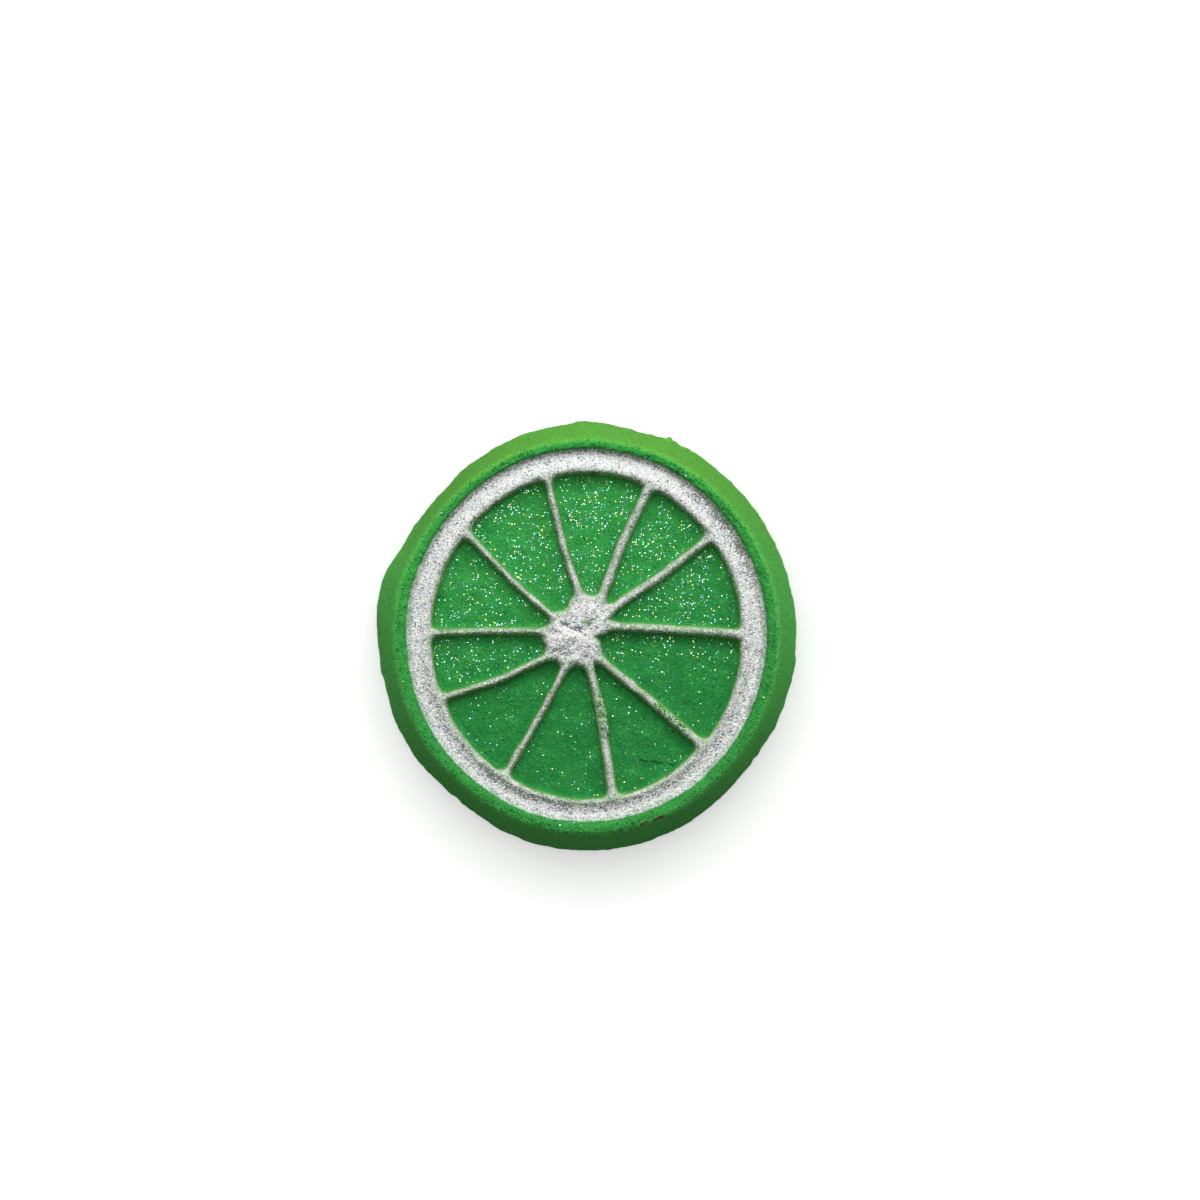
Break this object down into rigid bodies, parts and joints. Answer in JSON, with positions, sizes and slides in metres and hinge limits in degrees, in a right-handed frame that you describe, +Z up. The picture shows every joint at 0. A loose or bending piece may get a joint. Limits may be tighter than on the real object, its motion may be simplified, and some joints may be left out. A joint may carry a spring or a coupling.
{
  "type": "lime slice bath bomb",
  "caption": "Puck of pressed green bath powder moulded as a slice of lime, with a rind rim, silver pith ring and ribs, sunken glittered pockets and a flat underside.",
  "frame": {"origin": "on the underside, below the middle of the puck", "axes": "+Z up through the cut face, +Y towards the top of the picture, +X towards its right"},
  "size_m": [0.075, 0.0768, 0.022],
  "materials": {
    "pressed_powder": "matt, grainy pressed bath powder dyed lime green, with a silver-white mica coat on the ring, ribs and hub and fine glitter in the pockets"
  },
  "bodies": {
    "root": {"pressed_lime_slice": "pressed_powder"}
  },
  "joints": []
}
